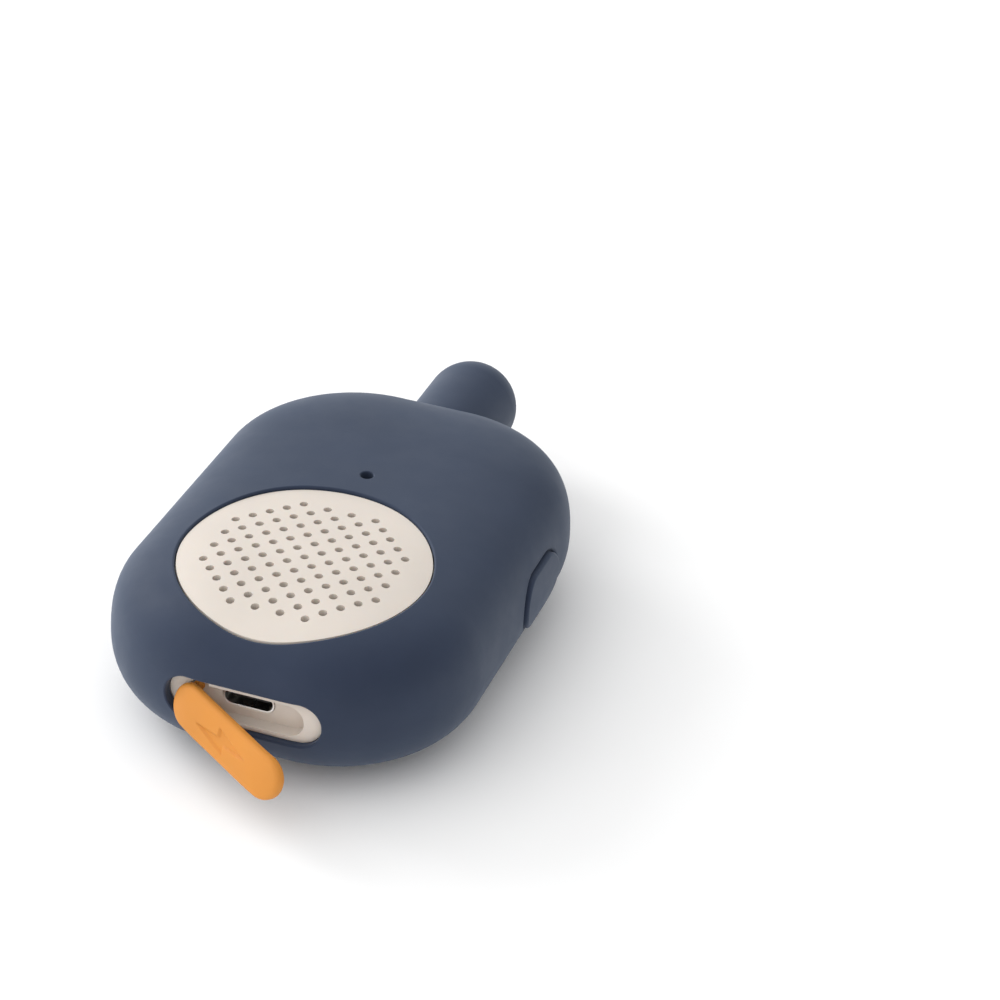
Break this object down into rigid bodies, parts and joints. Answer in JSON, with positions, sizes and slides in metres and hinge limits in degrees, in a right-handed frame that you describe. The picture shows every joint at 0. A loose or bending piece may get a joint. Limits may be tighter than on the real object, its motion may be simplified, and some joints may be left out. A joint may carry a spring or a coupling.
{
  "type": "toy walkie talkie",
  "caption": "Pebble-shaped toy walkie talkie in a soft sleeve with a round antenna, perforated speaker grille, side talk button and a hinged flap over its charging port.",
  "frame": {"origin": "centre of the body's outline on the flat back that it lies on", "axes": "+Z out of the speaker side, +Y along the antenna, +X out of the side with the talk button"},
  "size_m": [0.065, 0.1264, 0.029],
  "materials": {
    "navy_silicone": "soft matte silicone with a velvety edge",
    "cream_plastic": "fine matte moulded plastic",
    "orange_silicone": "soft matte silicone",
    "peach_plastic": "satin moulded plastic",
    "mesh_cloth": "woven dust mesh",
    "black_foam": "closed cell foam",
    "black_rubber": "soft rubber",
    "paper_cone": "coated paper",
    "zinc_steel": "zinc plated",
    "tinned_can": "tinned sheet",
    "ferrite": "sintered ferrite",
    "copper_wire": "enamelled copper",
    "green_board": "solder mask over glass fibre",
    "chip_black": "moulded epoxy",
    "ceramic_tan": "sintered ceramic",
    "white_plastic": "moulded plastic",
    "battery_wrap": "foil pouch",
    "red_wire": "insulated wire"
  },
  "bodies": {
    "housing": {"silicone_sleeve": "navy_silicone", "front_shell": "cream_plastic", "rear_shell": "cream_plastic", "speaker_grille": "cream_plastic", "port_bezel": "cream_plastic", "dust_mesh": "mesh_cloth", "speaker_gasket": "black_foam", "speaker_frame": "zinc_steel", "speaker_surround": "black_rubber", "speaker_yoke": "zinc_steel", "speaker_magnet": "ferrite", "magnet_cap": "zinc_steel", "main_board": "green_board", "rf_shield": "tinned_can", "radio_chip": "chip_black", "audio_chip": "chip_black", "crystal": "tinned_can", "capacitors": "ceramic_tan", "ptt_switch_body": "chip_black", "power_switch_body": "chip_black", "usb_port": "tinned_can", "usb_tongue": "chip_black", "flap_anchor": "orange_silicone", "microphone": "tinned_can", "mic_boot": "black_rubber", "mic_leads": "red_wire", "battery": "battery_wrap", "battery_pad": "black_foam", "battery_socket": "white_plastic", "battery_leads": "red_wire", "speaker_leads": "red_wire", "antenna_tube": "cream_plastic", "antenna_coil": "copper_wire", "antenna_lead": "copper_wire", "housing_screws": "zinc_steel"},
    "talk_button": {"ptt_button": "navy_silicone", "ptt_switch_plunger": "white_plastic"},
    "power_key": {"power_button": "peach_plastic", "power_switch_plunger": "white_plastic"},
    "cone": {"speaker_cone": "paper_cone", "voice_coil": "copper_wire"},
    "flap": {"usb_flap": "orange_silicone", "flap_tether": "orange_silicone"}
  },
  "joints": [
    {"name": "talk_press", "type": "slide", "parent": "housing", "child": "talk_button", "axis": [-1, 0, 0], "range_m": [0, 0.0006], "stiffness_N_per_m": 400},
    {"name": "power_press", "type": "slide", "parent": "housing", "child": "power_key", "axis": [0, 0, 1], "range_m": [0, 0.0006], "stiffness_N_per_m": 400},
    {"name": "cone_travel", "type": "slide", "parent": "housing", "child": "cone", "axis": [0, 0, 1], "range_m": [-0.0004, 0.0004], "stiffness_N_per_m": 300},
    {"name": "flap_hinge", "type": "hinge", "parent": "housing", "child": "flap", "pos_m": [-0.0106, -0.04697, 0.0137], "axis": [-0.4471, 0.3831, -0.8083], "range_deg": [-33, 12], "stiffness_Nm_per_rad": 0.002}
  ]
}
